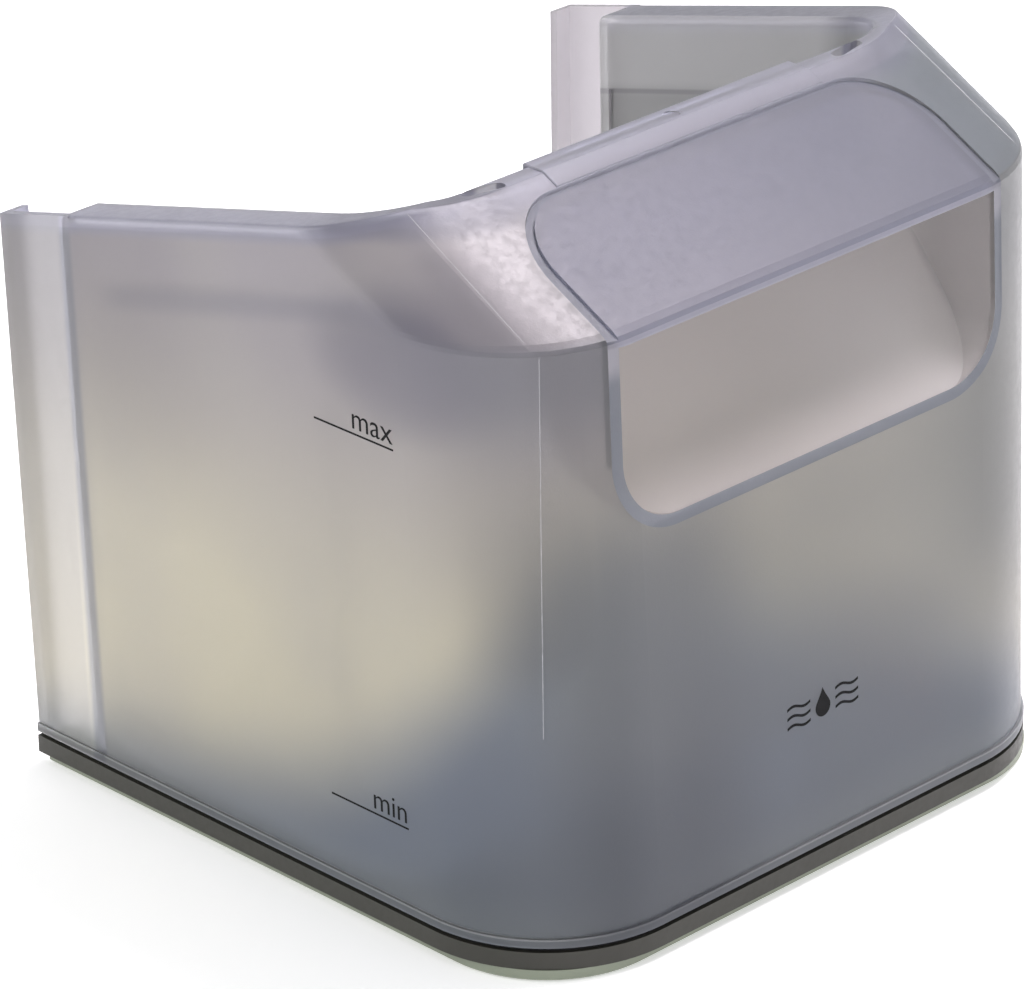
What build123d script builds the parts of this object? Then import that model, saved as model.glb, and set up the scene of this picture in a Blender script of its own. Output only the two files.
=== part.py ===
from build123d import *
import os
from math import atan, cos, radians, sin

# Lift-off water tank of a steam ironing station, in millimetres.
# X runs along the front, Y runs back from the front face, Z is up, and the tank stands on Z = 0.
# It is U-shaped in plan: a deep front section with a grip pocket, and two thin wings that
# reach back past the station and hook onto it.

# ---------------------------------------------------------------- driving dimensions
WIDTH = 200.0            # over the foot flange
DEPTH = 192.2            # front face to the rear lips, at their top
HEIGHT = 190.6           # floor to the top ledge
WALL = 2.4               # moulded wall
FRONT = -DEPTH / 2       # front face, at the foot flange
REAR = DEPTH / 2         # rear face of the hook lips, at their top
FOOT_REAR = FRONT + 190  # and at the foot

PLATE_TOP = 3.0          # bottom plate, then band, gasket and shell, going up
BAND_TOP = 7.8
FLOOR = 9.0              # inside floor of the tank, and the shell's bottom edge
FLANGE = 2.4             # height of the foot flange
FLANGE_STEP = 0.7        # how far the foot flange stands out from the wall
FLARE = 0.0175           # outward lean of the side walls
CORNER_R = 39.5          # front corners in plan

SIDE_X = WIDTH / 2 - FLANGE_STEP      # outer side walls, at their foot
FRONT_BASE = FRONT + FLANGE_STEP      # front wall at its foot
FRONT_LEAN = 6.6                      # how far the front wall leans back at the slope
SLOPE_Z = 167.3                       # lower edge of the front slope
LEDGE_Y = FRONT + 52.4                # front edge of the top ledge
LEDGE_R = 40.0                        # corner radius of the top ledge
SLOPE_Y = FRONT_BASE + FRONT_LEAN     # lower edge of the slope
SLOPE = (HEIGHT - SLOPE_Z) / (LEDGE_Y - SLOPE_Y)
SLOPE_DROP = WALL / cos(atan(SLOPE))  # one wall thickness, measured straight down

BACK_Y = FRONT + 58.2                 # rear face of the front section
GAP_X = 89.5                          # inner faces of the wings
GAP_R = 20.0                          # inner corners of the U
WING_END = FRONT + 167.0              # end walls of the water space, at their foot
RIM_SLOPE = 0.259                     # fall of the wing rims towards the rear
RIM_START = FRONT + 59.6              # where that fall begins
LIP_X = 91.8                          # free edges of the rear lips
BROW_R, RIM_R, END_R = 1.2, 1.0, 3.0  # rounded edges: slope, rims and ledge, wing ends

GRIP_X = 70.0            # half width of the grip insert
GRIP_Z = 113.5           # underside of the insert at the front face
GRIP_R = 21.0            # its rounded corners
GRIP_BACK = FRONT + 47.6
GRIP_WALL = 3.2
GROOVE_W, GROOVE_BACK_W = 3.3, 1.8    # groove round the sloping panel
GROOVE_D = 1.0
SCOOP_RISE = 34.0        # degrees, where the scoop leaves the front face

VALVE_X, VALVE_Y = 0.0, FRONT + 32.0
FLOAT_X, FLOAT_Y = 58.0, FRONT + 33.0
FLAP_AXIS_Y, FLAP_AXIS_Z = BACK_Y + 2.8, 182.6


# ---------------------------------------------------------------- shared outlines
def front_rounded(level, half_width, front, rear, radius):
    """A rectangle in plan, at a height, with its two front corners rounded."""
    with BuildSketch(Plane.XY.offset(level)) as outline:
        with Locations((0, (front + rear) / 2)):
            Rectangle(2 * half_width, rear - front)
        fillet(outline.vertices().group_by(Axis.Y)[0], radius)
    return outline.sketch.face()


def flare_x(level, x=SIDE_X):
    """Where something at x on the shell's foot has moved to, at a height."""
    return x + FLARE * (level - FLOOR)


def prism(level, height, half_width, front, rear, radius):
    """That rectangle, extruded up from its height."""
    with BuildPart() as block:
        extrude(front_rounded(level, half_width, front, rear, radius), amount=height)
    return block.part


def side_prism(points, half_width):
    """A polygon of (y, z) points, extruded both ways along X."""
    with BuildPart() as block:
        with BuildSketch(Plane.YZ):
            with BuildLine():
                Polyline(*points, close=True)
            make_face()
        extrude(amount=half_width, both=True)
    return block.part


def rim_z(y, drop=0.0):
    """Height of the sloping wing rims."""
    return HEIGHT - RIM_SLOPE * (y - RIM_START) - drop


REAR_LEAN = (REAR - FOOT_REAR) / (rim_z(REAR) - FLOOR)    # the rear walls lean back


def above_rim(drop=0.0):
    """Everything above the wing rims, to be cut away."""
    end = REAR + 10
    points = [(RIM_START, rim_z(RIM_START, drop)), (end, rim_z(end, drop)),
              (end, HEIGHT + 20), (RIM_START, HEIGHT + 20)]
    return side_prism(points, WIDTH)


def soft_brow(below, brow, above):
    """Three outlines in place of the brow's one, so that its edge is rounded off."""
    start = [b + (a - b) * BROW_R / (brow[0] - below[0]) for a, b in zip(below, brow)]
    finish = [b + (a - b) * BROW_R / (above[0] - brow[0]) for a, b in zip(above, brow)]
    middle = [(a + 2 * b + c) / 4 for a, b, c in zip(start, brow, finish)]
    return [start, middle, finish]


def tank_body(inset, bottom):
    """The leaning walls and the front slope, as one solid. inset moves every face inwards."""
    slope_z = SLOPE_Z + inset * SLOPE - (SLOPE_DROP if inset else 0)
    ledge_z = HEIGHT - inset
    ledge_y = SLOPE_Y + inset + (ledge_z - slope_z) / SLOPE
    foot = (bottom, FRONT_BASE + inset, CORNER_R - inset)
    brow = (slope_z, SLOPE_Y + inset, CORNER_R - inset)
    ledge = (ledge_z, ledge_y, LEDGE_R - inset)
    levels = [foot, brow, ledge] if inset else [foot, *soft_brow(foot, brow, ledge), ledge]
    outlines = [front_rounded(level, flare_x(level) - inset, front,
                              WING_END - inset + REAR_LEAN * (level - FLOOR), radius)
                for level, front, radius in levels]
    with BuildPart() as body:
        for lower, upper in zip(outlines, outlines[1:]):
            loft([lower, upper], ruled=True)
        add(prism(0, HEIGHT + 10, GAP_X + inset, BACK_Y - inset, REAR + 5, GAP_R + inset),
            mode=Mode.SUBTRACT)
        add(above_rim(inset / cos(atan(RIM_SLOPE)) if inset else 0), mode=Mode.SUBTRACT)
    return body.part


def is_rim(edge):
    """True for the edges round the top ledge and along the curved parts of the wing rims."""
    middle = edge.center()
    at_top = middle.Z > HEIGHT - 0.3 or abs(middle.Z - rim_z(middle.Y)) < 3
    at_brow = abs(middle.Z - SLOPE_Z) < BROW_R + 0.5
    return at_top and not at_brow and middle.Y < WING_END - 1 and abs(abs(middle.X) - GAP_X) > 0.01


def is_wing_end(edge):
    """True for the top edges of the two end walls."""
    middle = edge.center()
    end = WING_END + REAR_LEAN * (middle.Z - FLOOR)
    return abs(middle.Y - end) < 0.01 and abs(middle.X) < SIDE_X - 2 and middle.Z > 100 \
        and edge.length < 14


def is_land_side(edge):
    """True for the upper edges along the two sides of the raised land."""
    middle = edge.center()
    return abs(middle.X) > LAND_X - 0.01 and middle.Z > slope_z_at(GRIP_BACK) \
        and edge.length > LAND_RISE + 3


def outer_body():
    """The outside of the tank with its edges rounded."""
    body = tank_body(0, FLOOR)
    for chosen, radius in ((is_wing_end, END_R), (is_rim, RIM_R)):
        body = body.fillet(radius, body.edges().filter_by(chosen))
    return body


def finish_part(part, name):
    """Label a finished piece and write its STEP file."""
    part.label = name
    export_step(part, f"parts/{name}.step")


def perimeter_strip(level, height, outset, inner_outset):
    """A strip that follows the left side, the front and the right side."""
    outer = prism(level, height, SIDE_X + outset, FRONT_BASE - outset, FOOT_REAR, CORNER_R + outset)
    inner = prism(level, height, SIDE_X + inner_outset, FRONT_BASE - inner_outset, REAR + 5,
                  CORNER_R + inner_outset)
    return outer - inner


def grip_outline(inset, back_inset=0.0):
    """The grip insert's outer shape, seen from the front and from above, as one solid."""
    with BuildPart() as shape:
        with BuildSketch(Plane.XZ.offset(-REAR)) as seen_from_front:
            with Locations((0, GRIP_Z + inset + 100)):
                Rectangle(2 * (GRIP_X - inset), 200)
            fillet(seen_from_front.vertices().group_by(Axis.Y)[0], GRIP_R - inset)
        extrude(amount=2 * DEPTH)
        with BuildSketch() as seen_from_above:
            with Locations((0, GRIP_BACK - (back_inset or inset) - 100)):
                Rectangle(2 * (GRIP_X - inset), 200)
            fillet(seen_from_above.vertices().group_by(Axis.Y)[-1], GRIP_R - inset)
        extrude(amount=2 * HEIGHT, mode=Mode.INTERSECT)
    return shape.part


def scoop_space(low, back, top_drop):
    """The space above the scoop's curved floor and below the slope, in side view."""
    front = FRONT - 10
    start = (SLOPE_Y - 2, low)
    end = (back, slope_z_at(back, top_drop))
    rise = radians(SCOOP_RISE)
    with BuildPart() as space:
        with BuildSketch(Plane.YZ):
            with BuildLine():
                Polyline((front, slope_z_at(front, top_drop)), (front, low), start)
                TangentArc(start, end, tangent=(cos(rise), sin(rise)))
                Line(end, (front, slope_z_at(front, top_drop)))
            make_face()
        extrude(amount=GRIP_X + 5, both=True)
    return space.part


def slope_z_at(y, drop=0.0):
    """Height of the sloping front surface, or of a surface that far below it."""
    return SLOPE_Z + SLOPE * (y - SLOPE_Y) - drop


def tube(level, height, outer_r, inner_r, x, y):
    """A plain ring or tube standing at (x, y)."""
    with BuildPart() as ring:
        with BuildSketch(Plane.XY.offset(level)):
            with Locations((x, y)):
                Circle(outer_r)
                Circle(inner_r, mode=Mode.SUBTRACT)
        extrude(amount=height)
    return ring.part


os.makedirs("parts", exist_ok=True)

# ---------------------------------------------------------------- grip insert
tank_outside = outer_body()
grip_block = tank_outside & grip_outline(0) & scoop_space(GRIP_Z, GRIP_BACK, -5)
hand_pocket = grip_outline(GRIP_WALL) & scoop_space(
    GRIP_Z + GRIP_WALL, GRIP_BACK - GRIP_WALL, SLOPE_DROP)
groove_ring = grip_outline(0) - grip_outline(GROOVE_W, GROOVE_BACK_W)
below_groove = side_prism([(FRONT - 20, slope_z_at(FRONT - 20, GROOVE_D)),
                           (GRIP_BACK + 5, slope_z_at(GRIP_BACK + 5, GROOVE_D)),
                           (GRIP_BACK + 5, 0), (FRONT - 20, 0)], GRIP_X + 5)

with BuildPart() as grip_insert:
    add(grip_block)
    add(hand_pocket, mode=Mode.SUBTRACT)
    add(groove_ring - below_groove, mode=Mode.SUBTRACT)
finish_part(grip_insert.part, "grip_insert")

# ---------------------------------------------------------------- tank shell
LAND_X, LAND_RISE, HOOD = 47.0, 0.5, 1.0   # raised centre of the ledge, hood over the hinge
SLOT_X, SLOT_Y, SLOT_TURN, GATE_Y = 64.3, BACK_Y - 2.8, 12.0, BACK_Y - 2.8
MOUTH_X, MOUTH_LOW, MOUTH_HIGH, MOUTH_R = 33.0, 151.0, 176.0, 5.0
LUG_X, LUG_W, LUG_R, PIN_R = 32.5, 4.0, 2.5, 1.0

with BuildPart() as tank_shell:
    add(tank_outside)
    # foot flange
    add(perimeter_strip(FLOOR, FLANGE, FLANGE_STEP, -1.0))
    # raised land between the ledge slots, running down to the grip panel
    land = side_prism([(GRIP_BACK, slope_z_at(GRIP_BACK, 3)),
                       (GRIP_BACK, slope_z_at(GRIP_BACK, -LAND_RISE)),
                       (LEDGE_Y, HEIGHT + LAND_RISE), (BACK_Y + HOOD, HEIGHT + LAND_RISE),
                       (BACK_Y + HOOD, HEIGHT - 2.2), (BACK_Y - 1, HEIGHT - 3)], LAND_X)
    add(land.fillet(LAND_RISE - 0.1, land.edges().filter_by(is_land_side)))
    # gate mark on the land
    with BuildSketch(Plane.XY.offset(HEIGHT + LAND_RISE)):
        with Locations((0.8, GATE_Y)):
            Circle(2.2)
    extrude(amount=-0.35, mode=Mode.SUBTRACT)
    # water space, grip insert, vent slots, filler mouth
    add(tank_body(WALL, FLOOR - 1), mode=Mode.SUBTRACT)
    add(grip_block, mode=Mode.SUBTRACT)
    for side in (-1, 1):
        with BuildSketch(Plane.XY.offset(HEIGHT - 10)):
            with Locations(Location((side * SLOT_X, SLOT_Y), side * SLOT_TURN)):
                SlotOverall(12.4, 3.4)
        extrude(amount=20, mode=Mode.SUBTRACT)
    with BuildSketch(Plane.XZ.offset(-BACK_Y + WALL + 1)):
        with Locations((0, (MOUTH_LOW + MOUTH_HIGH) / 2)):
            RectangleRounded(2 * MOUTH_X, MOUTH_HIGH - MOUTH_LOW, MOUTH_R)
    extrude(amount=-(WALL + 2), mode=Mode.SUBTRACT)
    # step on the wings' inner faces, parallel to the rims
    step_top = [(BACK_Y + 22, rim_z(BACK_Y + 22, 21)), (WING_END - 2, rim_z(WING_END - 2, 21))]
    for side in (-1, 1):
        with BuildSketch(Plane.YZ.offset(side * GAP_X)):
            with BuildLine():
                Polyline(*step_top, (WING_END - 2, FLOOR + 12), (BACK_Y + 22, FLOOR + 12), close=True)
            make_face()
        extrude(amount=side * 0.8, mode=Mode.SUBTRACT)
    # hooks: single walls behind the wings that end in inward lips
    for side in (-1, 1):
        for level in (FLOOR, HEIGHT):
            lip, outer = FOOT_REAR + REAR_LEAN * (level - FLOOR), side * flare_x(level)
            inner, free = outer - side * WALL, side * flare_x(level, LIP_X)
            with BuildSketch(Plane.XY.offset(level)):
                with BuildLine():
                    Polyline((outer, lip - 27), (outer, lip), (free, lip), (free, lip - WALL),
                             (inner, lip - WALL), (inner, lip - 27), close=True)
                make_face()
        loft(ruled=True)
    add(above_rim(), mode=Mode.SUBTRACT)
    # hinge lugs for the filler flap
    for side in (-1, 1):
        with BuildSketch(Plane.YZ.offset(side * LUG_X - LUG_W / 2)):
            with Locations((FLAP_AXIS_Y, FLAP_AXIS_Z)):
                Circle(LUG_R)
            with Locations(((BACK_Y + FLAP_AXIS_Y) / 2 - 0.5, FLAP_AXIS_Z)):
                Rectangle(FLAP_AXIS_Y - BACK_Y + 1, 2 * LUG_R)
            with Locations((FLAP_AXIS_Y, FLAP_AXIS_Z)):
                Circle(PIN_R, mode=Mode.SUBTRACT)
        extrude(amount=LUG_W)
finish_part(tank_shell.part, "tank_shell")

# ---------------------------------------------------------------- base: gasket, band, plate
with BuildPart() as base_gasket:
    add(perimeter_strip(BAND_TOP, FLOOR - BAND_TOP, -0.6, -2.6))
finish_part(base_gasket.part, "base_gasket")

with BuildPart() as trim_band:
    add(perimeter_strip(PLATE_TOP, BAND_TOP - PLATE_TOP, FLANGE_STEP, -2.6))
finish_part(trim_band.part, "trim_band")

BORE_R, HOUSING_R, SCREW_RING = 7.0, 10.0, 14.0
CORE_R = 1.1             # screw cores in the plate

with BuildPart() as base_plate:
    add(prism(0, PLATE_TOP, SIDE_X - 1.2, FRONT_BASE + 1.2, FOOT_REAR - 2, 33.0))
    add(prism(PLATE_TOP, FLOOR - PLATE_TOP, SIDE_X - 2.7, FRONT_BASE + 2.7, FOOT_REAR - 3,
              CORNER_R - 2.7))
    add(prism(-1, FLOOR + 2, GAP_X, BACK_Y, REAR + 1, GAP_R), mode=Mode.SUBTRACT)
    chamfer(base_plate.faces().sort_by(Axis.Z)[0].outer_wire().edges(), 0.6)
    with BuildSketch():
        with Locations((VALVE_X, VALVE_Y)):
            Circle(HOUSING_R + 0.05)
    extrude(amount=FLOOR, mode=Mode.SUBTRACT)
    with BuildSketch(Plane.XY.offset(FLOOR)):
        with Locations((VALVE_X, VALVE_Y)):
            with PolarLocations(SCREW_RING, 3, 90):
                Circle(CORE_R)
    extrude(amount=-6, mode=Mode.SUBTRACT)
finish_part(base_plate.part, "base_plate")

# ---------------------------------------------------------------- outlet valve
SEAT_Z, SEAT_R = 10.0, 4.0          # the disc seal rests on this ledge
CHAMBER_R, HOUSING_TOP = 7.6, 26.0
VALVE_LIFT = 3.5
STEM_R, GUIDE_R = 1.9, 1.95
SEAL_H, HEAD_H, HEAD_R = 1.6, 2.2, 6.0

with BuildPart() as valve_housing:
    with BuildSketch(Plane.XY.offset(0.6)):
        with Locations((VALVE_X, VALVE_Y)):
            Circle(HOUSING_R)
    extrude(amount=HOUSING_TOP - 0.6)
    with BuildSketch(Plane.XY.offset(FLOOR)):
        with Locations((VALVE_X, VALVE_Y)):
            Circle(SCREW_RING + 3.5)
    extrude(amount=2.0)
    # spigot bore below, orifice, and the chamber that holds the poppet
    with BuildSketch(Plane.XY.offset(0.6)):
        with Locations((VALVE_X, VALVE_Y)):
            Circle(BORE_R)
    extrude(amount=SEAT_Z - 2.6, mode=Mode.SUBTRACT)
    with BuildSketch():
        with Locations((VALVE_X, VALVE_Y)):
            Circle(SEAT_R)
    extrude(amount=SEAT_Z + 1, mode=Mode.SUBTRACT)
    with BuildSketch(Plane.XY.offset(SEAT_Z)):
        with Locations((VALVE_X, VALVE_Y)):
            Circle(CHAMBER_R)
    extrude(amount=HOUSING_TOP, mode=Mode.SUBTRACT)
    # water windows round the chamber
    for turn in range(4):
        window = Plane((VALVE_X, VALVE_Y, 0)).rotated((0, 0, 45 + 90 * turn))
        with BuildSketch(Plane(window.origin, window.z_dir, window.x_dir)):
            with Locations((0, 17.0)):
                RectangleRounded(6.0, 9.0, 1.2)
        extrude(amount=HOUSING_R + 2, mode=Mode.SUBTRACT)
    with BuildSketch(Plane.XY.offset(FLOOR)):
        with Locations((VALVE_X, VALVE_Y)):
            with PolarLocations(SCREW_RING, 3, 90):
                Circle(1.6)
    extrude(amount=3, mode=Mode.SUBTRACT)
    # groove for the O-ring that seals against the plate
    add(tube(4.0, 2.4, HOUSING_R + 1, HOUSING_R - 1.3, VALVE_X, VALVE_Y), mode=Mode.SUBTRACT)
finish_part(valve_housing.part, "valve_housing")

with BuildPart() as valve_poppet:
    # stem, head and upper guide, turned as one piece
    with BuildSketch(Plane.XZ.offset(-VALVE_Y)):
        with BuildLine():
            Polyline((0, 8.4), (STEM_R - 0.4, 8.4), (STEM_R, 8.8), (STEM_R, SEAT_Z + SEAL_H),
                     (HEAD_R, SEAT_Z + SEAL_H), (HEAD_R, SEAT_Z + SEAL_H + HEAD_H),
                     (3.4, SEAT_Z + SEAL_H + HEAD_H), (3.0, SEAT_Z + SEAL_H + HEAD_H + 1.2),
                     (GUIDE_R, SEAT_Z + SEAL_H + HEAD_H + 1.2),
                     (GUIDE_R, 30.4), (GUIDE_R - 0.5, 30.9), (0, 30.9), close=True)
        make_face()
    revolve(axis=Axis((VALVE_X, VALVE_Y, 0), (0, 0, 1)))
finish_part(valve_poppet.part, "valve_poppet")

with BuildPart() as valve_seal:
    add(tube(SEAT_Z, SEAL_H, HEAD_R + 0.4, STEM_R, VALVE_X, VALVE_Y))
finish_part(valve_seal.part, "valve_seal")

SPRING_LOW, SPRING_HIGH = SEAT_Z + SEAL_H + HEAD_H + 0.05, HOUSING_TOP - 1.65
SPRING_R, WIRE_R, SPRING_TURNS = 4.6, 0.4, 4.5

with BuildPart() as valve_spring:
    with BuildLine() as coil:
        Helix(pitch=(SPRING_HIGH - SPRING_LOW - 2 * WIRE_R) / SPRING_TURNS,
              height=SPRING_HIGH - SPRING_LOW - 2 * WIRE_R, radius=SPRING_R,
              center=(VALVE_X, VALVE_Y, SPRING_LOW + WIRE_R))
    with BuildSketch(Plane(coil.line @ 0, z_dir=coil.line % 0)):
        Circle(WIRE_R)
    sweep()
finish_part(valve_spring.part, "valve_spring")

with BuildPart() as valve_retainer:
    # spider that snaps into the housing, holds the spring and guides the stem
    add(tube(HOUSING_TOP - 1.6, 1.6, CHAMBER_R, CHAMBER_R - 1.4, VALVE_X, VALVE_Y))
    add(tube(HOUSING_TOP - 1.6, 3.2, 5.4, GUIDE_R + 0.08, VALVE_X, VALVE_Y))
    add(tube(HOUSING_TOP, 0.9, HOUSING_R, CHAMBER_R - 1.4, VALVE_X, VALVE_Y))
    with BuildSketch(Plane.XY.offset(HOUSING_TOP - 1.6)):
        with Locations((VALVE_X, VALVE_Y)):
            with PolarLocations(5.8, 3):
                Rectangle(2.4, 2.2)
    extrude(amount=2.5)
finish_part(valve_retainer.part, "valve_retainer")

with BuildPart() as spout_o_ring:
    with BuildSketch(Plane.XZ.offset(-VALVE_Y)):
        with Locations((HOUSING_R - 0.35, 5.2)):
            Circle(0.9)
        with Locations((HOUSING_R + 0.55, 5.2)):
            Rectangle(1.0, 4.0, mode=Mode.SUBTRACT)
    revolve(axis=Axis((VALVE_X, VALVE_Y, 0), (0, 0, 1)))
finish_part(spout_o_ring.part, "spout_o_ring")

with BuildPart() as valve_screws:
    # three pan-head screws through the housing's flange into the plate
    with BuildSketch(Plane.XY.offset(FLOOR + 2.0)):
        with Locations((VALVE_X, VALVE_Y)):
            with PolarLocations(SCREW_RING, 3, 90):
                Circle(2.6)
    extrude(amount=1.5)
    fillet(valve_screws.edges().group_by(Axis.Z)[-1], 0.6)
    with BuildSketch(Plane.XY.offset(FLOOR + 3.5)):
        with Locations((VALVE_X, VALVE_Y)):
            with PolarLocations(SCREW_RING, 3, 90):
                Rectangle(2.6, 0.6)
                Rectangle(0.6, 2.6)
    extrude(amount=-0.8, mode=Mode.SUBTRACT)
    with BuildSketch(Plane.XY.offset(FLOOR + 2.0)):
        with Locations((VALVE_X, VALVE_Y)):
            with PolarLocations(SCREW_RING, 3, 90):
                Circle(CORE_R)
    extrude(amount=-7.0)
finish_part(valve_screws.part, "valve_screws")

# ---------------------------------------------------------------- inlet filter
CAGE_R, CAGE_LOW, CAGE_TOP = 21.0, FLOOR, 38.0
with BuildPart() as filter_frame:
    add(tube(CAGE_LOW, 2.0, CAGE_R, CAGE_R - 2.6, VALVE_X, VALVE_Y))
    add(tube(CAGE_TOP - 2.0, 2.0, CAGE_R, 0.8, VALVE_X, VALVE_Y))
    with BuildSketch(Plane.XY.offset(CAGE_LOW)):
        with Locations((VALVE_X, VALVE_Y)):
            with PolarLocations(CAGE_R - 0.9, 6):
                Rectangle(1.8, 2.6)
    extrude(amount=CAGE_TOP - CAGE_LOW)
finish_part(filter_frame.part, "filter_frame")

with BuildPart() as filter_mesh:
    add(tube(CAGE_LOW + 2.0, CAGE_TOP - CAGE_LOW - 4.0, CAGE_R - 2.1, CAGE_R - 2.5, VALVE_X, VALVE_Y))
finish_part(filter_mesh.part, "filter_mesh")

# ---------------------------------------------------------------- level float
FLOAT_R, FLOAT_LOW, FLOAT_H, FLOAT_LIFT = 10.0, FLOOR + 2.3, 15.0, 18.0
POST_R, POST_RING, FLOAT_CAGE_TOP = 1.5, 11.7, 48.0
MAGNET_R, MAGNET_H = 4.0, 3.0

with BuildPart() as float_cage:
    add(tube(FLOOR, 2.0, POST_RING + POST_R + 0.5, 5.0, FLOAT_X, FLOAT_Y))
    add(tube(FLOAT_CAGE_TOP - 2.0, 2.0, POST_RING + POST_R + 0.5, 6.5, FLOAT_X, FLOAT_Y))
    with BuildSketch(Plane.XY.offset(FLOOR)):
        with Locations((FLOAT_X, FLOAT_Y)):
            with PolarLocations(POST_RING, 4, 45):
                Circle(POST_R)
    extrude(amount=FLOAT_CAGE_TOP - FLOOR)
finish_part(float_cage.part, "float_cage")

with BuildPart() as float_body:
    add(tube(FLOAT_LOW, FLOAT_H - 1.6, FLOAT_R, FLOAT_R - 1.4, FLOAT_X, FLOAT_Y))
    with BuildSketch(Plane.XY.offset(FLOAT_LOW)):
        with Locations((FLOAT_X, FLOAT_Y)):
            Circle(FLOAT_R)
    extrude(amount=1.4)
    add(tube(FLOAT_LOW + 1.4, MAGNET_H, MAGNET_R + 1.4, MAGNET_R, FLOAT_X, FLOAT_Y))
finish_part(float_body.part, "float_body")

with BuildPart() as float_magnet:
    with BuildSketch(Plane.XY.offset(FLOAT_LOW + 1.4)):
        with Locations((FLOAT_X, FLOAT_Y)):
            Circle(MAGNET_R)
    extrude(amount=MAGNET_H)
finish_part(float_magnet.part, "float_magnet")

with BuildPart() as float_cap:
    with BuildSketch(Plane.XY.offset(FLOAT_LOW + FLOAT_H - 1.6)):
        with Locations((FLOAT_X, FLOAT_Y)):
            Circle(FLOAT_R)
    extrude(amount=1.6)
    chamfer(float_cap.edges().group_by(Axis.Z)[-1], 0.5)
    add(tube(FLOAT_LOW + FLOAT_H - 3.6, 2.0, FLOAT_R - 1.4, FLOAT_R - 2.6, FLOAT_X, FLOAT_Y))
finish_part(float_cap.part, "float_cap")

# ---------------------------------------------------------------- filler flap on the rear face
FLAP_X, FLAP_LOW, FLAP_TOP, FLAP_T = 38.0, MOUTH_LOW - 4.0, FLAP_AXIS_Z - 3.4, 2.2
FLAP_Y = BACK_Y + 0.4
SEAL_W, SEAL_SINK = 2.0, 0.6
BARREL_X = LUG_X - LUG_W / 2 - 0.2

with BuildPart() as filler_flap:
    with BuildSketch(Plane.XZ.offset(-FLAP_Y)):
        with Locations((0, (FLAP_LOW + FLAP_TOP) / 2)):
            RectangleRounded(2 * FLAP_X, FLAP_TOP - FLAP_LOW, 4.0)
    extrude(amount=-FLAP_T)
    # hinge barrel and the web that carries it
    with BuildSketch(Plane.YZ):
        with Locations((FLAP_AXIS_Y, FLAP_AXIS_Z)):
            Circle(LUG_R)
        with Locations((FLAP_Y + FLAP_T / 2 + 0.4, (FLAP_TOP + FLAP_AXIS_Z) / 2 - 0.6)):
            Rectangle(FLAP_T - 0.4, FLAP_AXIS_Z - FLAP_TOP + 1.2)
        with Locations((FLAP_AXIS_Y, FLAP_AXIS_Z)):
            Circle(PIN_R + 0.05, mode=Mode.SUBTRACT)
    extrude(amount=BARREL_X, both=True)
    # groove for the seal, and a finger tab on the lower edge
    with BuildSketch(Plane.XZ.offset(-FLAP_Y)):
        with Locations((0, (MOUTH_LOW + MOUTH_HIGH) / 2)):
            RectangleRounded(2 * MOUTH_X + 3 + 2 * SEAL_W, MOUTH_HIGH - MOUTH_LOW + 1 + 2 * SEAL_W, 6.5)
            RectangleRounded(2 * MOUTH_X + 3, MOUTH_HIGH - MOUTH_LOW + 1, 4.5, mode=Mode.SUBTRACT)
    extrude(amount=-SEAL_SINK, mode=Mode.SUBTRACT)
    with BuildSketch(Plane.XZ.offset(-FLAP_Y - 0.8)):
        with Locations((0, FLAP_LOW - 2.5)):
            RectangleRounded(22, 9, 3.0)
    extrude(amount=-(FLAP_T - 0.8))
finish_part(filler_flap.part, "filler_flap")

with BuildPart() as flap_seal:
    with BuildSketch(Plane.XZ.offset(-BACK_Y - 0.1)):
        with Locations((0, (MOUTH_LOW + MOUTH_HIGH) / 2)):
            RectangleRounded(2 * MOUTH_X + 3 + 2 * SEAL_W, MOUTH_HIGH - MOUTH_LOW + 1 + 2 * SEAL_W, 6.5)
            RectangleRounded(2 * MOUTH_X + 3, MOUTH_HIGH - MOUTH_LOW + 1, 4.5, mode=Mode.SUBTRACT)
    extrude(amount=-(SEAL_SINK + FLAP_Y - BACK_Y - 0.1))
finish_part(flap_seal.part, "flap_seal")

with BuildPart() as flap_pin:
    with BuildSketch(Plane.YZ):
        with Locations((FLAP_AXIS_Y, FLAP_AXIS_Z)):
            Circle(PIN_R)
    extrude(amount=LUG_X + LUG_W / 2, both=True)
    chamfer(flap_pin.edges(), 0.25)
finish_part(flap_pin.part, "flap_pin")
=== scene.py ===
from math import cos, pi, radians, sin

import bmesh
import bpy
from mathutils import Matrix, Vector
from mathutils.bvhtree import BVHTree


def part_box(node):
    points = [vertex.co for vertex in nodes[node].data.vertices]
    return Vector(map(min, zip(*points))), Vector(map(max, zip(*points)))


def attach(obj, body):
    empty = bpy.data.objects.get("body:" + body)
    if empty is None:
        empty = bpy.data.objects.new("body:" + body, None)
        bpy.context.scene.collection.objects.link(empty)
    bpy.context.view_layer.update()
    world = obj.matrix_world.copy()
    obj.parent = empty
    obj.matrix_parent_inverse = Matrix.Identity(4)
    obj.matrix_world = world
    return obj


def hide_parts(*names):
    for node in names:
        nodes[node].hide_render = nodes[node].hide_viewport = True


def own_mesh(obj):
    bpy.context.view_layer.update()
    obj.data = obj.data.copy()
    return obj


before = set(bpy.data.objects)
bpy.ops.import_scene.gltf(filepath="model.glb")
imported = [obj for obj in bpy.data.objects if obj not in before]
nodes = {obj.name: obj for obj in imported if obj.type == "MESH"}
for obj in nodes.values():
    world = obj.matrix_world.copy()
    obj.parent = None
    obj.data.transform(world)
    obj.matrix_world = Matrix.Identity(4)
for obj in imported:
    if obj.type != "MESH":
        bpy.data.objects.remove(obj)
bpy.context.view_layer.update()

# Looks of the steam station's lift-off water tank. Units are metres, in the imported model's frame:
# X along the front, Y back from the front face, Z up.

MM = 0.001
scene = bpy.context.scene


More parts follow.
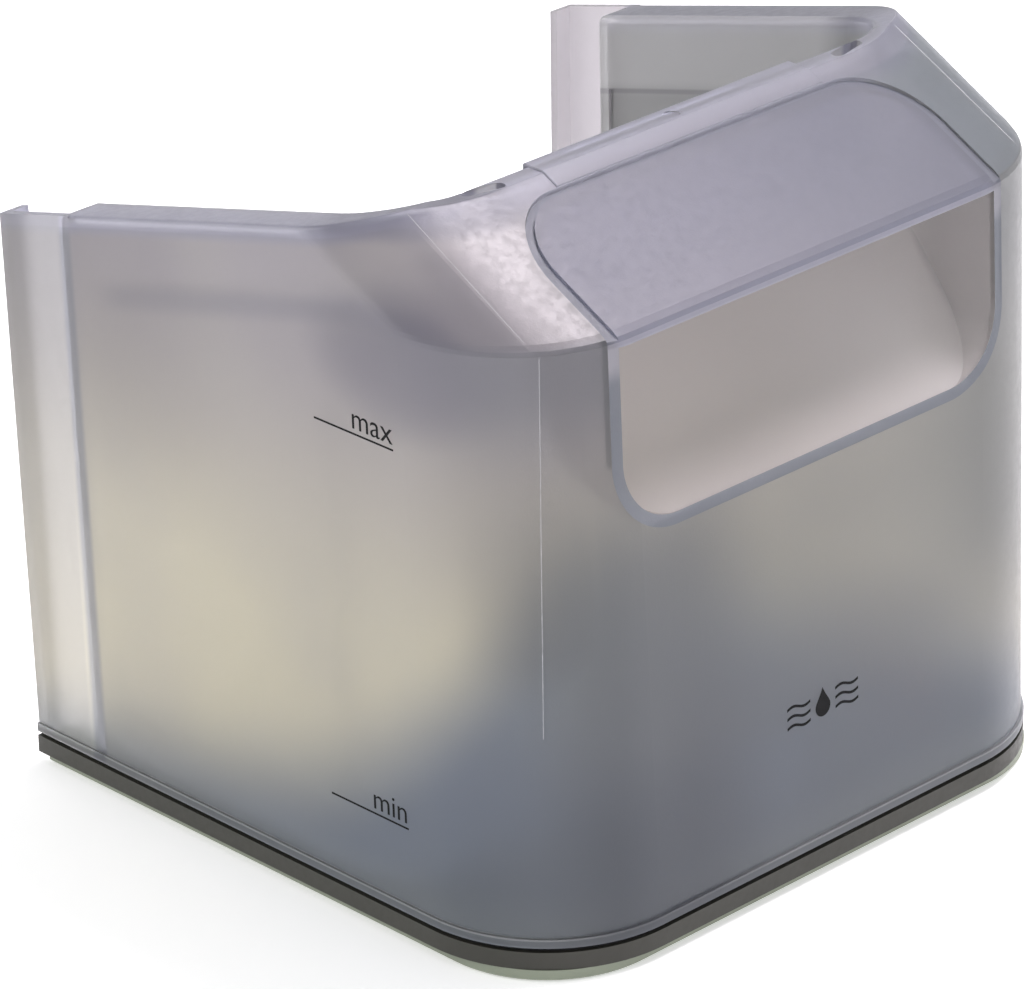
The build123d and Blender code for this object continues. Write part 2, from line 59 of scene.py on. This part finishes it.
# ---------------------------------------------------------------- material helpers
class Look:
    """A material with a Principled shader and short calls to add nodes to it."""

    def __init__(self, name):
        self.material = bpy.data.materials.new(name)
        self.material.use_nodes = True
        self.tree = self.material.node_tree
        self.shader = self.tree.nodes["Principled BSDF"]
        self.coords = self.add("ShaderNodeTexCoord").outputs["Object"]
        self.normal = self.add("ShaderNodeNewGeometry").outputs["Normal"]

    def add(self, kind, **values):
        node = self.tree.nodes.new(kind)
        for key, value in values.items():
            if key in node.inputs:
                if isinstance(value, bpy.types.NodeSocket):
                    self.tree.links.new(value, node.inputs[key])
                else:
                    node.inputs[key].default_value = value
            else:
                setattr(node, key, value)
        return node

    def link(self, source, target):
        self.tree.links.new(source, self.shader.inputs[target])

    def set(self, **values):
        for key, value in values.items():
            self.shader.inputs[key.replace("_", " ")].default_value = value

    def noise(self, scale, detail=2.0, rough=0.5, stretch=(1, 1, 1)):
        """Noise from 0 to 1. scale is in features per metre."""
        place = self.add("ShaderNodeMapping", Vector=self.coords, Scale=stretch)
        return self.add("ShaderNodeTexNoise", Vector=place.outputs[0], Scale=scale,
                        Detail=detail, Roughness=rough).outputs["Fac"]

    def axis(self, name, source=None):
        """One coordinate of the surface point, or of another vector."""
        split = self.add("ShaderNodeSeparateXYZ", Vector=source or self.coords)
        return split.outputs[name]

    def ramp(self, value, low, high, to_low=0.0, to_high=1.0):
        """A smooth step: value from low to high becomes to_low to to_high."""
        mapped = self.add("ShaderNodeMapRange", Value=value)
        mapped.interpolation_type = "SMOOTHSTEP"
        mapped.inputs["From Min"].default_value = low
        mapped.inputs["From Max"].default_value = high
        mapped.inputs["To Min"].default_value = to_low
        mapped.inputs["To Max"].default_value = to_high
        return mapped.outputs[0]

    def math(self, operation, a, b):
        """A math node's result. Operations of one value ignore b."""
        node = self.add("ShaderNodeMath", operation=operation)
        for socket, value in zip(node.inputs, (a, b)):
            if isinstance(value, bpy.types.NodeSocket):
                self.tree.links.new(value, socket)
            else:
                socket.default_value = value
        return node.outputs[0]

    def times(self, *values):
        """The product of masks and numbers."""
        product = values[0]
        for value in values[1:]:
            product = self.math("MULTIPLY", product, value)
        return product

    def mix(self, amount, a, b):
        """Colour a turning into colour b as amount goes from 0 to 1."""
        node = self.add("ShaderNodeMix", data_type="RGBA")
        for index, value in ((0, amount), (6, a), (7, b)):
            if isinstance(value, bpy.types.NodeSocket):
                self.tree.links.new(value, node.inputs[index])
            else:
                node.inputs[index].default_value = (*value, 1) if index else value
        return node.outputs[2]

    def bump(self, height, depth, strength=1.0):
        node = self.add("ShaderNodeBump", Height=height, Distance=depth, Strength=strength)
        self.link(node.outputs[0], "Normal")


def paint(look, *names):
    """Give CAD nodes a finished material."""
    for name in names:
        mesh = nodes[name].data
        if not mesh.materials:
            mesh.materials.append(look.material)
        for index in range(len(mesh.materials)):
            mesh.materials[index] = look.material


def frosted(name, colour, transmission, roughness):
    """Frosted see-through plastic with a spark-eroded grain."""
    look = Look(name)
    cloud = look.ramp(look.noise(30, 3.0, 0.5), 0.35, 0.65)
    look.body = look.mix(cloud, [channel * 0.95 for channel in colour], colour)
    look.link(look.body, "Base Color")
    look.link(look.ramp(look.noise(420, 3.0, 0.6), 0.3, 0.7, roughness - 0.05, roughness + 0.05),
              "Roughness")
    look.bump(look.noise(1500, 3.0, 0.7), 0.00006, 0.5)
    look.set(Transmission_Weight=transmission, IOR=1.49, Specular_IOR_Level=0.9)
    return look


# ---------------------------------------------------------------- the shell's landmarks
SHELL_LOW, SHELL_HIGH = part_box("tank_shell")
FRONT_Y = SHELL_LOW.y


def from_front(distance):
    """The Y of a place that is so many millimetres behind the front face."""
    return FRONT_Y + distance * MM


RIM_FALL, RIM_START, RIM_Z = 0.259, from_front(59.6), SHELL_HIGH.z - 0.5 * MM
STEP_BELOW_RIM = 21.5 * MM                          # the step on the wings' inner faces
END_WALL_Y, REAR_LEAN = from_front(167.0), 0.015
BROW_Y, BROW_Z = from_front(7.3), 167.3 * MM        # lower edge of the slope
SLOPE_RISE = 0.5166
CORNER_X, CORNER_Y = 62.6 * MM, from_front(46.8)    # axis of the front corner, at the brow
CORNER_BACK = 1.916                                 # how far that axis moves back as it goes up
GAP_FACE = (91.2 * MM, 90.4 * MM)                   # just outside and inside the wings' inner faces


# ---------------------------------------------------------------- painted light and shade for what shows through the shell
class Place:
    """A point of the shell: its coordinates and its distances from the landmarks."""

    def __init__(self, look):
        self.x, self.y, self.z = (look.axis(name) for name in "XYZ")
        self.outward = look.math("ABSOLUTE", self.x, 0.0)
        self.up = look.axis("Z", look.normal)
        self.facing_out = look.times(look.axis("X", look.normal), look.math("SIGN", self.x, 0.0))
        self.on_wing = look.times(look.ramp(self.outward, 0.096, 0.099),
                                  look.ramp(self.facing_out, 0.3, 0.6))
        past_start = look.math("MAXIMUM", look.math("SUBTRACT", self.y, RIM_START), 0.0)
        rim = look.math("SUBTRACT", RIM_Z, look.times(past_start, RIM_FALL))
        self.below_rim = look.math("SUBTRACT", rim, self.z)
        self.off_step = look.math("ABSOLUTE", look.math("SUBTRACT", self.below_rim, STEP_BELOW_RIM), 0.0)


def shade_walls(look, at):
    """Painted light and shade on the walls: mauve towards the rims, warm and bright in the middle,
    painted shade where the floor shows through.
    """
    # painted light, warm and bright low on the walls, turning to a mauve painted shade towards the rims
    body = look.mix(look.ramp(at.z, 0.070, 0.165), (0.77, 0.74, 0.62), (0.51, 0.485, 0.515))
    cloud = look.ramp(look.noise(14, 2.0, 0.5), 0.35, 0.65, 0.0, 0.45)
    body = look.mix(cloud, body, (0.62, 0.60, 0.57))

    # painted shade for the floor seen through the wall: it reaches higher up near the front, and highest
    # at the left front corner
    back = look.math("MAXIMUM", look.math("SUBTRACT", at.y, from_front(5)), 0.0)
    near_front = look.math("EXPONENT", look.times(back, -1 / 0.055), 0.0)
    towards_right = look.math("MAXIMUM", look.math("ADD", at.x, 0.080), 0.0)
    top = look.math("ADD", look.times(near_front, 0.105), 0.010)
    top = look.math("SUBTRACT", top, look.times(towards_right, 0.50))
    depth = look.math("SUBTRACT", top, at.z)
    body = look.mix(look.ramp(depth, -0.022, 0.024), body, (0.28, 0.32, 0.39))
    # painted shade along the foot, stronger towards the front
    nearer = look.ramp(at.y, from_front(160), from_front(60), 0.25)
    body = look.mix(look.times(look.ramp(at.z, 0.026, 0.008), nearer), body, (0.36, 0.40, 0.45))

    # light caught by the top edge of the foot flange
    flange = look.times(look.ramp(at.z, 0.0107, 0.0111), look.ramp(at.z, 0.0119, 0.0115, 0.0, 0.8))
    return look.mix(flange, body, (0.85, 0.86, 0.88))


def shade_wing_step(look, at, body):
    """Painted shade along the step on the wings' inner faces, seen through the wall, and a patch of
    painted shade where it meets the front section.
    """
    ahead = look.ramp(at.y, END_WALL_Y - 0.008, END_WALL_Y - 0.022)
    # painted shade of the step, seen through the wall
    line = look.times(look.ramp(at.off_step, 0.0055, 0.0005, 0.0, 0.5), at.on_wing, ahead)
    body = look.mix(line, body, (0.32, 0.32, 0.38))
    # a soft patch of painted shade
    across = look.math("DIVIDE", look.math("SUBTRACT", at.y, from_front(47)), 0.034)
    down = look.math("DIVIDE", look.math("SUBTRACT", at.z, 0.1585), 0.020)
    reach = look.math("ADD", look.math("POWER", across, 2.0), look.math("POWER", down, 2.0))
    patch = look.times(look.ramp(reach, 1.2, 0.0, 0.0, 0.75), look.ramp(at.outward, 0.07, 0.09))
    return look.mix(patch, body, (0.28, 0.27, 0.33))


def shade_front_corners(look, at, body):
    """Painted shade under the brow and at the corners, where two walls lie behind each other."""
    # painted shade under the brow
    under = look.times(look.ramp(at.z, 0.128, 0.160), look.ramp(at.z, 0.1690, 0.1665))
    under = look.times(under, look.ramp(at.y, from_front(60), from_front(12)), 0.62)
    body = look.mix(under, body, (0.34, 0.36, 0.42))

    # painted shade down the left front corner
    shade_column = look.times(look.ramp(at.x, -0.012, -0.050), look.ramp(at.x, -0.092, -0.070))
    round_side = look.times(look.ramp(at.x, -0.060, -0.080), look.ramp(at.z, 0.070, 0.090))
    left = look.times(look.math("MAXIMUM", shade_column, round_side), look.ramp(at.z, 0.145, 0.095))
    left = look.times(left, look.ramp(at.y, from_front(34), from_front(10)), 0.66)
    body = look.mix(left, body, (0.14, 0.16, 0.21))
    # painted shade on the right of the front, and a band of it across the middle
    right = look.times(look.ramp(at.x, 0.010, 0.075), look.ramp(at.z, 0.030, 0.080), 0.80)
    body = look.mix(right, body, (0.33, 0.34, 0.34))
    middle = look.times(look.ramp(at.z, 0.035, 0.060), look.ramp(at.z, 0.120, 0.095),
                        look.ramp(at.y, from_front(20), from_front(8), 0.0, 0.30))
    body = look.mix(middle, body, (0.34, 0.35, 0.36))
    # painted shade along the right-hand edge of the front
    return look.mix(look.ramp(at.x, 0.084, 0.098, 0.0, 0.35), body, (0.25, 0.27, 0.29))


def shade_slope(look, at, body):
    """The slope: painted shade beyond the left seam, a painted highlight ahead of it, bluish on the
    right.
    """
    above_brow = look.times(look.ramp(at.z, BROW_Z - 0.1 * MM, BROW_Z + 0.5 * MM),
                            look.ramp(at.up, 0.15, 0.40))
    axis_y = look.math("ADD", look.times(look.math("SUBTRACT", at.z, BROW_Z), CORNER_BACK), CORNER_Y)
    past_seam = look.math("ADD", look.math("SUBTRACT", at.outward, CORNER_X), at.y)
    past_seam = look.math("SUBTRACT", past_seam, axis_y)
    # painted shade beyond the left seam
    seam_shade = look.times(look.ramp(past_seam, -0.0059, -0.0055, 0.0, 0.36),
                      look.ramp(past_seam, 0.012, -0.003), above_brow)
    body = look.mix(seam_shade, body, (0.26, 0.25, 0.29))
    # painted highlight ahead of the left seam
    bright = look.times(look.ramp(past_seam, -0.0057, -0.0061, 0.0, 0.15),
                        look.ramp(past_seam, -0.024, -0.010), look.ramp(at.x, -0.05, -0.06))
    body = look.mix(look.times(bright, above_brow), body, (0.80, 0.72, 0.80))
    return look.mix(look.times(above_brow, look.ramp(at.x, 0.0, 0.06)), body, (0.415, 0.455, 0.50))


def shade_rims(look, at, body):
    """Painted shade where the end walls of the water space show through, and painted light and shade
    along the rims and the ledge.
    """
    # painted shade towards the rear of the left wall
    rear = look.times(look.ramp(at.y, from_front(100), from_front(150)), look.ramp(at.z, 0.08, 0.13),
                      look.ramp(at.x, -0.05, -0.06, 0.0, 0.28))
    body = look.mix(rear, body, (0.30, 0.28, 0.28))
    # painted shade where the end wall shows through the wing
    wall_y = look.math("ADD", look.times(at.z, REAR_LEAN), END_WALL_Y - 1.9 * MM)
    off_wall = look.math("ABSOLUTE", look.math("SUBTRACT", at.y, wall_y), 0.0)
    wall = look.times(look.ramp(off_wall, 3.4 * MM, 1.2 * MM, 0.0, 0.85), at.on_wing)
    body = look.mix(wall, body, (0.25, 0.27, 0.33))

    # painted light and shade in bands along the rims
    edge = look.ramp(at.below_rim, 3.4 * MM, 2.6 * MM)
    body = look.mix(look.ramp(at.below_rim, 6.0 * MM, 3.0 * MM, 0.0, 0.7), body, (0.40, 0.41, 0.51))
    body = look.mix(edge, body, (0.50, 0.50, 0.60))
    # painted light on the flat ledge
    ledge = look.times(look.ramp(at.up, 0.975, 0.99), look.ramp(at.below_rim, 1.6 * MM, 1.2 * MM))
    body = look.mix(ledge, body, (0.74, 0.74, 0.85))
    # painted shade on the curve where the ledge meets the left rim, with a weaker sheen there
    curve = look.times(look.ramp(at.x, -0.055, -0.070), look.ramp(at.z, 0.184, 0.187))
    body = look.mix(look.times(curve, 0.6), body, (0.30, 0.30, 0.36))
    look.link(look.ramp(curve, 0.0, 1.0, 0.9, 0.2), "Specular IOR Level")
    # painted shade on the far rim
    far_rim = look.times(edge, look.ramp(at.y, from_front(65), from_front(80)),
                         look.ramp(at.x, 0.05, 0.06, 0.0, 0.75))
    return look.mix(far_rim, body, (0.22, 0.22, 0.27))


def shade_vents(look, at, body):
    """Painted light on the walls inside the two vent slots in the ledge."""
    vent = look.times(look.ramp(at.z, 0.1835, 0.1845), look.ramp(at.up, 0.4, 0.2),
                      look.ramp(at.y, from_front(57.5), from_front(57.0)),
                      look.ramp(at.facing_out, 0.6, 0.3), look.ramp(at.y, from_front(50), from_front(51)))
    return look.mix(vent, body, (1.0, 1.0, 1.0))


def shade_wing_backs(look, at, body):
    """Painted light on the far hook and the wings' inner faces, painted shade on the near hook's strip
    and along the step.
    """
    behind = look.ramp(at.y, END_WALL_Y + 0.001, END_WALL_Y + 0.003)
    # painted light on the far hook
    body = look.mix(look.times(behind, look.ramp(at.x, 0.04, 0.05)), body, (0.545, 0.52, 0.55))
    # painted shade on the near hook's strip
    strip = look.times(behind, at.on_wing, look.ramp(at.x, -0.04, -0.05),
                       look.ramp(at.z, 0.0, 0.19, 0.42, 0.70))
    body = look.mix(strip, body, (0.36, 0.36, 0.37))
    inner = look.ramp(at.outward, *GAP_FACE)
    # painted light on the wings' inner faces
    inner_light = look.times(inner, look.ramp(at.y, from_front(75), from_front(90)),
                      look.ramp(at.below_rim, 0.024, 0.018, 0.25, 0.75))
    body = look.mix(inner_light, body, (1.0, 0.99, 1.0))
    # painted shade along the step on the inner faces
    far_step_shade = look.times(inner, look.ramp(at.off_step, 0.0012, 0.0004, 0.0, 0.7),
                      look.ramp(at.y, from_front(75), from_front(85)))
    return look.mix(far_step_shade, body, (0.30, 0.29, 0.32))


def shade_tank(look):
    """Everything that shows through or on the shell, with its painted light and shade, painted by
    position.
    """
    at = Place(look)
    body = shade_walls(look, at)
    for shade in (shade_wing_step, shade_front_corners, shade_slope, shade_rims, shade_vents,
                  shade_wing_backs):
        body = shade(look, at, body)
    look.link(body, "Base Color")


def shade_grip(look):
    """Warm painted light inside the pocket, lilac on the panel, painted shade in the groove and on the
    pocket's edge.
    """
    x, y, z = (look.axis(name) for name in "XYZ")
    facing = look.axis("Y", look.normal)
    slope = look.math("ADD", look.times(look.math("SUBTRACT", y, BROW_Y), SLOPE_RISE), BROW_Z)
    sunk = look.math("SUBTRACT", slope, z)

    # painted light inside the pocket, brighter to the right, with painted shade on its right side wall
    # and low on the left
    inside = look.mix(look.ramp(x, -0.01, 0.06), (0.88, 0.83, 0.80), (1.0, 0.95, 0.93))
    inside = look.mix(look.ramp(x, 0.0635, 0.067), inside, (0.80, 0.76, 0.75))
    low = look.times(look.ramp(z, 0.135, 0.118), look.ramp(x, 0.01, -0.03, 0.0, 0.25))
    inside = look.mix(low, inside, (0.55, 0.50, 0.50))
    # the panel, darker to the right as painted shade
    panel = look.mix(look.ramp(x, -0.05, 0.06), (0.275, 0.28, 0.365), (0.20, 0.215, 0.29))
    body = look.mix(look.ramp(sunk, 1.9 * MM, 1.6 * MM), inside, panel)

    # painted shade in the groove and on the lip's front face
    groove = look.times(look.ramp(sunk, 0.25 * MM, 0.55 * MM), look.ramp(sunk, 1.9 * MM, 1.7 * MM),
                        look.ramp(facing, -0.93, -0.85), 0.85)
    body = look.mix(groove, body, (0.26, 0.29, 0.38))
    lip = look.times(look.ramp(facing, -0.85, -0.95), look.ramp(sunk, 3.2 * MM, 2.6 * MM))
    body = look.mix(lip, body, (0.43, 0.43, 0.53))
    # painted shade on the pocket's edge, with painted light towards its top
    pocket_edge = look.times(look.ramp(facing, -0.90, -0.97), look.ramp(sunk, 2.0 * MM, 3.0 * MM))
    edge_colour = look.mix(look.ramp(z, 0.155, 0.161), (0.27, 0.31, 0.39), (0.64, 0.64, 0.74))
    look.link(look.mix(pocket_edge, body, edge_colour), "Base Color")


def moulded(name, colour, roughness=0.45, grain=0.00002, shift=0.06):
    """Opaque moulded plastic with a fine grain and slight colour variation."""
    look = Look(name)
    darker = [channel * (1 - shift) for channel in colour]
    lighter = [min(1.0, channel * (1 + shift)) for channel in colour]
    look.link(look.mix(look.ramp(look.noise(60, 4.0, 0.6), 0.3, 0.7), darker, lighter), "Base Color")
    look.link(look.ramp(look.noise(500, 2.0, 0.6), 0.3, 0.7, roughness - 0.05, roughness + 0.07),
              "Roughness")
    look.bump(look.noise(1800, 2.0, 0.6), grain, 0.4)
    return look


def metal(name, colour, roughness, stretch=(1, 1, 14)):
    """Bright metal with drawn or brushed streaks."""
    look = Look(name)
    streaks = look.noise(900, 3.0, 0.6, stretch)
    look.link(look.mix(look.ramp(streaks, 0.3, 0.7), [c * 0.86 for c in colour], colour), "Base Color")
    look.link(look.ramp(streaks, 0.25, 0.75, roughness - 0.06, roughness + 0.10), "Roughness")
    look.bump(streaks, 0.000015, 0.3)
    look.set(Metallic=1.0)
    return look


# ---------------------------------------------------------------- materials
tank_look = frosted("tank_frosted", (0.84, 0.82, 0.80), 0.80, 0.36)
shade_tank(tank_look)
grip_look = frosted("grip_frosted", (0.72, 0.69, 0.74), 0.70, 0.46)
shade_grip(grip_look)
flap_look = frosted("flap_frosted", (0.74, 0.76, 0.84), 0.60, 0.45)
band_look = moulded("band_dark", (0.034, 0.033, 0.025), 0.42)
plate_look = moulded("plate_pale", (0.26, 0.29, 0.22), 0.42)
gasket_look = moulded("gasket_rubber", (0.018, 0.018, 0.020), 0.75, 0.00005)
seal_look = moulded("seal_rubber", (0.045, 0.045, 0.050), 0.70, 0.00005)
white_look = moulded("valve_white", (0.72, 0.72, 0.70), 0.40)
poppet_look = moulded("poppet_blue", (0.10, 0.22, 0.42), 0.35)
filter_look = moulded("filter_grey", (0.42, 0.44, 0.47), 0.42)
float_look = moulded("float_orange", (0.72, 0.26, 0.05), 0.40)
spring_look = metal("spring_steel", (0.62, 0.61, 0.58), 0.26)
screw_look = metal("screw_steel", (0.66, 0.66, 0.64), 0.24)
pin_look = metal("pin_steel", (0.66, 0.66, 0.66), 0.20, (14, 1, 1))
mesh_look = metal("mesh_steel", (0.55, 0.55, 0.53), 0.30)
magnet_look = metal("magnet_nickel", (0.70, 0.68, 0.62), 0.18, (1, 1, 1))
ink_look = moulded("mark_ink", (0.012, 0.012, 0.013), 0.65, 0.00001)
ink_look.set(Specular_IOR_Level=0.1)
seam_look = frosted("seam_frosted", (0.80, 0.79, 0.81), 0.25, 0.35)

paint(tank_look, "tank_shell")
paint(grip_look, "grip_insert")
paint(flap_look, "filler_flap")
paint(band_look, "trim_band")
paint(plate_look, "base_plate")
paint(gasket_look, "base_gasket")
paint(seal_look, "valve_seal", "spout_o_ring", "flap_seal")
paint(white_look, "valve_housing", "valve_retainer", "float_cage")
paint(poppet_look, "valve_poppet")
paint(filter_look, "filter_frame")
paint(float_look, "float_body", "float_cap")
paint(spring_look, "valve_spring")
paint(screw_look, "valve_screws")
paint(pin_look, "flap_pin")
paint(mesh_look, "filter_mesh")
paint(magnet_look, "float_magnet")

# ---------------------------------------------------------------- surface lookups
shell = nodes["tank_shell"]
SHELL_TREE = BVHTree.FromObject(shell, bpy.context.evaluated_depsgraph_get())


def on_shell(origin, direction):
    """Where a ray meets the shell, and the surface's normal there."""
    place, normal, _, _ = SHELL_TREE.ray_cast(Vector(origin), Vector(direction))
    return place, normal


def mesh_piece(name, bm, look, body):
    """A finished mesh piece from a bmesh, riding on a CAD body."""
    mesh = bpy.data.meshes.new(name)
    bmesh.ops.recalc_face_normals(bm, faces=bm.faces)
    bm.to_mesh(mesh)
    bm.free()
    mesh.materials.append(look.material)
    piece = bpy.data.objects.new(name, mesh)
    scene.collection.objects.link(piece)
    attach(piece, body)
    return piece


# ---------------------------------------------------------------- printed marks
INK = 0.05 * MM                     # half the thickness of the print
LETTER_SIZE, LETTER_RISE = 8.6 * MM, 1.4 * MM
LINE_HALF = 0.26 * MM
UPPER_LEVEL, LOWER_LEVEL = 136.2 * MM, 32.9 * MM
MARK_Z = 46.5 * MM                  # the drop mark's height on the front
OUTSIDE = 0.3                       # far enough out to look at the shell from


def lay_on_face(bm, x_axis, origin, direction):
    """Turn flat artwork in XY so that it lies on the shell where a ray meets it."""
    place, normal = on_shell(origin, direction)
    across = (Vector(x_axis) - normal * Vector(x_axis).dot(normal)).normalized()
    up = normal.cross(across)
    turn = Matrix((across, up, normal)).transposed().to_4x4()
    bmesh.ops.transform(bm, matrix=Matrix.Translation(place) @ turn, verts=bm.verts)


def flat_poly(bm, points):
    """A thin printed polygon, half sunk in the surface."""
    lower = [bm.verts.new((x, y, -INK)) for x, y in points]
    upper = [bm.verts.new((x, y, INK)) for x, y in points]
    bm.faces.new(upper)
    bm.faces.new(lower[::-1])
    for i in range(len(points)):
        j = (i + 1) % len(points)
        bm.faces.new((lower[i], lower[j], upper[j], upper[i]))


def word_mesh(bm, word, size, right, low):
    """Add a printed word whose right-hand end and baseline are given."""
    curve = bpy.data.curves.new("word", "FONT")
    curve.body = word
    curve.size = size
    curve.extrude = INK
    curve.resolution_u = 6
    curve.offset = -0.003 * size
    curve.align_x = "RIGHT"
    holder = bpy.data.objects.new("word", curve)
    scene.collection.objects.link(holder)
    bpy.context.view_layer.update()
    mesh = bpy.data.meshes.new_from_object(holder.evaluated_get(bpy.context.evaluated_depsgraph_get()))
    mesh.transform(Matrix.Translation((right, low, 0)))
    bm.from_mesh(mesh)
    bpy.data.objects.remove(holder)
    bpy.data.curves.remove(curve)
    bpy.data.meshes.remove(mesh)


def level_mark(name, word, height, near, far, word_gap):
    """A level line on the left wall with its word above it. near and far are from the front face."""
    bm = bmesh.new()
    length = far - near
    flat_poly(bm, [(-length, -LINE_HALF), (0, -LINE_HALF), (0, LINE_HALF), (-length, LINE_HALF)])
    word_mesh(bm, word, LETTER_SIZE, -word_gap, LETTER_RISE)
    lay_on_face(bm, (0, -1, 0), (-OUTSIDE, FRONT_Y + near, height), (1, 0, 0))
    return mesh_piece(name, bm, ink_look, "tank")


level_mark("mark_upper", "max", UPPER_LEVEL, 49.0 * MM, 76.8 * MM, 0.1 * MM)
level_mark("mark_lower", "min", LOWER_LEVEL, 48.5 * MM, 76.2 * MM, 0.0)


def drop_outline(height, width, count=28):
    """A water drop: a round belly drawn up to a point."""
    points = []
    for i in range(count):
        turn = 2 * pi * i / count
        pull = max(0.0, sin(turn)) ** 3
        points.append((cos(turn) * width / 2 * (1 - 0.85 * pull),
                       sin(turn) * width / 2 + pull * (height - width)))
    return points


def wave(bm, left, right, level, rise, half_thickness):
    """A printed wavy stroke."""
    steps = 24
    points = []
    for i in range(steps + 1):
        x = left + (right - left) * i / steps
        points.append((x, level + rise * sin(2 * pi * i / steps)))
    upper = [(x, y + half_thickness) for x, y in points]
    lower = [(x, y - half_thickness) for x, y in reversed(points)]
    flat_poly(bm, upper + lower)


def drop_mark():
    """A water drop between two stacks of three waves, on the front face."""
    near, far = 4.6 * MM, 13.0 * MM
    lowest, pitch = -1.9 * MM, 2.6 * MM
    bm = bmesh.new()
    flat_poly(bm, drop_outline(8.0 * MM, 5.4 * MM))
    for left, right in ((-far, -near), (near, far)):
        for row in range(3):
            wave(bm, left, right, lowest + row * pitch, 0.55 * MM, 0.38 * MM)
    lay_on_face(bm, (1, 0, 0), (0, -OUTSIDE, MARK_Z), (0, 1, 0))
    return mesh_piece("mark_drop", bm, ink_look, "tank")


drop_mark()


# ---------------------------------------------------------------- mould seams on the front corners
def ribbon(name, points, width, rise, look):
    """A thin raised seam that follows points on the shell. points are (place, normal)."""
    bm = bmesh.new()
    rows = []
    for i, (place, normal) in enumerate(points):
        before = points[max(0, i - 1)][0]
        after = points[min(len(points) - 1, i + 1)][0]
        along = (after - before).normalized()
        across = along.cross(normal).normalized()
        rows.append([bm.verts.new(place + across * width / 2 - normal * rise),
                     bm.verts.new(place + normal * rise),
                     bm.verts.new(place - across * width / 2 - normal * rise)])
    for a, b in zip(rows, rows[1:]):
        for i in range(3):
            j = (i + 1) % 3
            bm.faces.new((a[i], a[j], b[j], b[i]))
    bm.faces.new(rows[0])
    bm.faces.new(rows[-1][::-1])
    return mesh_piece(name, bm, look, "tank")


SEAM_X, SEAM_Y = 59.8 * MM, from_front(41.0)    # the corner's axis, which the seam faces away from
SEAM_LOW, SEAM_HIGH = 66.0 * MM, 165.5 * MM
SLOPE_LOW, SLOPE_HIGH = (87.0, 17.5), (86.0, 60.0)   # ends on the slope: X and from the front, in mm
WALL_STEPS, SLOPE_STEPS = 39, 25


def seam_path(side):
    """Up the corner's wall, looked at from outside, then back over the slope, looked at from above."""
    path = []
    for i in range(WALL_STEPS + 1):
        z = SEAM_LOW + (SEAM_HIGH - SEAM_LOW) * i / WALL_STEPS
        start = (side * (SEAM_X + OUTSIDE), SEAM_Y - OUTSIDE, z)
        path.append(on_shell(start, (-side, 1, 0)))
    for i in range(SLOPE_STEPS + 1):
        share = i / SLOPE_STEPS
        x, back = (low + (high - low) * share for low, high in zip(SLOPE_LOW, SLOPE_HIGH))
        path.append(on_shell((side * x * MM, from_front(back), OUTSIDE), (0, 0, -1)))
    return path


for side, name in ((-1, "seam_left"), (1, "seam_right")):
    ribbon(name, seam_path(side), 0.24 * MM, 0.04 * MM, seam_look)

# ---------------------------------------------------------------- the outlet valve's spring
# In the valve it shortens as the poppet lifts, with its upper end held against the retainer; here it is a
# fixed copy riding on the tank.
bm = bmesh.new()
bm.from_mesh(nodes["valve_spring"].data)
bm.transform(nodes["valve_spring"].matrix_world)
coil = mesh_piece("spring_coil", bm, spring_look, "tank")
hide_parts("valve_spring")
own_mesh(coil)

# ---------------------------------------------------------------- floor, light and camera
FLOOR_HALF = 4.0
FLOOR_GAP = 0.2 * MM                # keeps the floor clear of the base plate

floor_mesh = bpy.data.meshes.new("floor")
floor_corners = [(x * FLOOR_HALF, y * FLOOR_HALF, 0) for x, y in ((-1, -1), (1, -1), (1, 1), (-1, 1))]
floor_mesh.from_pydata(floor_corners, [], [(0, 1, 2, 3)])
floor = bpy.data.objects.new("floor", floor_mesh)
floor.location.z = -FLOOR_GAP
scene.collection.objects.link(floor)
floor_look = Look("floor_pale")
floor_look.set(Base_Color=(0.93, 0.93, 0.93, 1), Roughness=0.9, Emission_Strength=0.37,
               Emission_Color=(1, 1, 1, 1))
floor_mesh.materials.append(floor_look.material)

world = bpy.data.worlds.new("studio")
world.use_nodes = True
background = world.node_tree.nodes["Background"]
background.inputs["Color"].default_value = (0.97, 0.98, 1.0, 1)
background.inputs["Strength"].default_value = 0.69
scene.world = world


AIM = Vector((0, 0, 0.1))


def softbox(name, place, width, power, colour):
    """A square area light that faces the tank."""
    light = bpy.data.lights.new(name, "AREA")
    light.size = width
    light.energy = power
    light.color = colour
    lamp = bpy.data.objects.new(name, light)
    lamp.location = place
    lamp.rotation_euler = (Vector(place) - AIM).to_track_quat("Z", "Y").to_euler()
    scene.collection.objects.link(lamp)


softbox("overhead", (0.56, -0.12, 1.5), 0.6, 18.6, (1.0, 0.92, 0.98))
softbox("back_left", (-1.2, 1.4, 0.9), 0.9, 10.0, (1.0, 0.98, 0.95))
softbox("front_right", (1.3, -1.2, 0.7), 0.9, 1.1, (0.96, 0.98, 1.0))

scene.view_settings.view_transform = "Standard"

CAMERA_PLACE = Vector((-1.0027, -1.0136, 0.7512))
HEADING, LOOK_DOWN, ROLL = radians(44.22), radians(25.39), radians(-0.82)
forward = Vector((sin(HEADING) * cos(LOOK_DOWN), cos(HEADING) * cos(LOOK_DOWN), -sin(LOOK_DOWN)))
level_right = Vector((cos(HEADING), -sin(HEADING), 0))
level_up = level_right.cross(forward)
right = cos(ROLL) * level_right + sin(ROLL) * level_up
up = -sin(ROLL) * level_right + cos(ROLL) * level_up
camera_data = bpy.data.cameras.new("camera")
camera_data.sensor_width = 36
camera_data.lens = 214.6
camera_data.clip_start = 0.05
camera_data.clip_end = 50
camera = bpy.data.objects.new("camera", camera_data)
turn = Matrix((right, up, -forward)).transposed().to_4x4()
camera.matrix_world = Matrix.Translation(CAMERA_PLACE) @ turn
scene.collection.objects.link(camera)
scene.camera = camera
